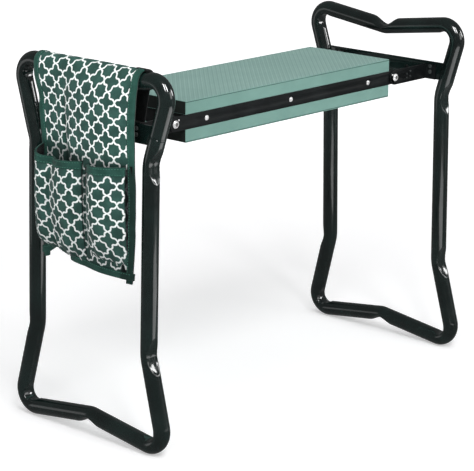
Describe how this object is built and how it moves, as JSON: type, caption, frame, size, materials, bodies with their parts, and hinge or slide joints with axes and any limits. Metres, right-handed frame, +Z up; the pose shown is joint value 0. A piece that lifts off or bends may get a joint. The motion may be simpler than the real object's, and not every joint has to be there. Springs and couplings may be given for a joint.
{
  "type": "folding garden kneeler seat",
  "caption": "Folding garden kneeler and seat: padded board hinged between two tubular leg loops, with a patterned cloth tool pouch hung on one handle.",
  "frame": {"origin": "on the floor below the middle of the seat, midway between the two leg loops and the two rails", "axes": "+X along the seat from the pouch side to the bare side, -Y the front, +Z up; used as a seat"},
  "size_m": [0.6566, 0.278, 0.4896],
  "materials": {
    "frame_paint": "glossy dark green-black powder coat",
    "bracket_paint": "satin black paint",
    "rail_paint": "satin black paint",
    "bright_steel": "zinc plated",
    "bare_steel": "bare tube steel",
    "foam": "matt closed-cell foam with a fine embossed skin",
    "board": "moulded",
    "pouch_cloth": "printed woven polyester, white trellis on green",
    "pouch_lining": "black woven polyester",
    "pouch_tape": "plain woven tape"
  },
  "bodies": {
    "seat": {"core_board": "board", "front_rail": "rail_paint", "back_rail": "rail_paint", "rail_rivets": "bright_steel", "top_pad": "foam", "bottom_pad": "foam", "left_hinge_bolts": "bright_steel", "left_hinge_washers": "bright_steel", "left_hinge_nuts": "bright_steel", "left_stop_pins": "bright_steel", "right_hinge_bolts": "bright_steel", "right_hinge_washers": "bright_steel", "right_hinge_nuts": "bright_steel", "right_stop_pins": "bright_steel"},
    "left_leg": {"left_loop_tube": "frame_paint", "left_joint_sleeve": "bare_steel", "left_cross_plate": "frame_paint", "left_front_bracket": "bracket_paint", "left_back_bracket": "bracket_paint", "left_bracket_doublers": "bracket_paint", "left_bracket_rivets": "bright_steel", "pouch_panel": "pouch_cloth", "pouch_lining": "pouch_lining", "pouch_binding": "pouch_tape", "wide_pocket": "pouch_cloth", "narrow_pocket": "pouch_cloth", "pocket_bands": "pouch_tape"},
    "right_leg": {"right_loop_tube": "frame_paint", "right_joint_sleeve": "bare_steel", "right_cross_plate": "frame_paint", "right_front_bracket": "bracket_paint", "right_back_bracket": "bracket_paint", "right_bracket_doublers": "bracket_paint", "right_bracket_rivets": "bright_steel"}
  },
  "joints": [
    {"name": "left_fold", "type": "hinge", "parent": "seat", "child": "left_leg", "pos_m": [-0.2213, 0, 0.4091], "axis": [0, -1, 0], "range_deg": [0, 88]},
    {"name": "right_fold", "type": "hinge", "parent": "seat", "child": "right_leg", "pos_m": [0.2213, 0, 0.4091], "axis": [0, 1, 0], "range_deg": [0, 95]}
  ]
}
